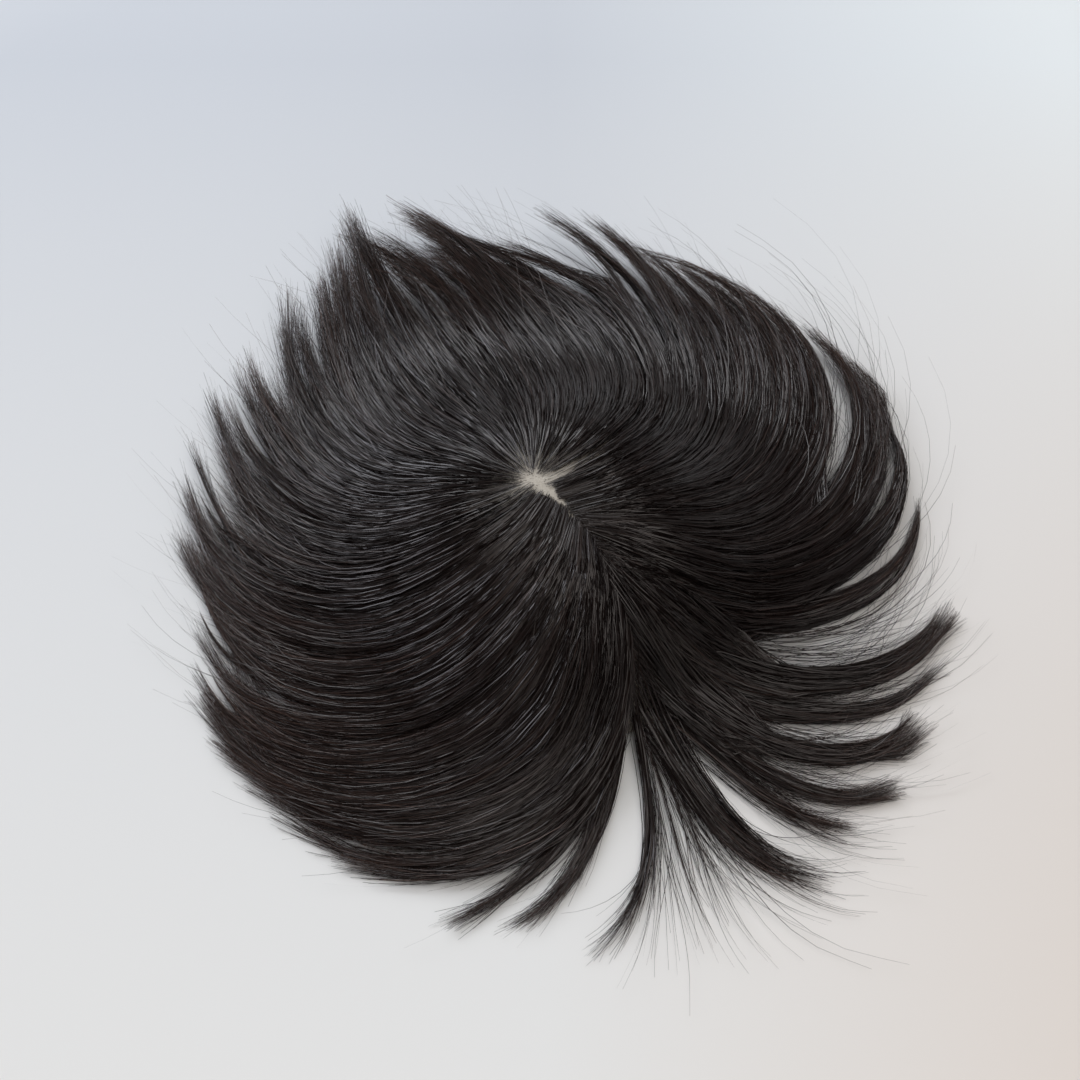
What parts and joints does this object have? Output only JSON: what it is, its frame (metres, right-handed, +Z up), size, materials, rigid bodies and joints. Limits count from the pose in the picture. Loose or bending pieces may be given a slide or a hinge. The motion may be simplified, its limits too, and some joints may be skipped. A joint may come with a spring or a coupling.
{
  "type": "toupee hairpiece",
  "caption": "Toupee: shallow domed base cap covered by long dark hair that swirls out from a whorl and a side parting and lies fanned out on the table.",
  "frame": {"origin": "on the table, under the middle of the whole hairpiece", "axes": "+Z up, -Y towards the front hairline, +X towards the wearer's left side when worn"},
  "size_m": [0.3222, 0.3508, 0.0448],
  "materials": {
    "base_lace": "fine matt lace and thin skin-coloured film",
    "hair": "brown-black hair with a soft silky sheen along the strands"
  },
  "bodies": {
    "root": {"base_cap": "base_lace", "fringe_hair": "hair", "front_right_hair": "hair", "right_hair": "hair", "back_hair": "hair", "back_left_hair": "hair", "left_hair": "hair", "front_left_hair": "hair"}
  },
  "joints": []
}
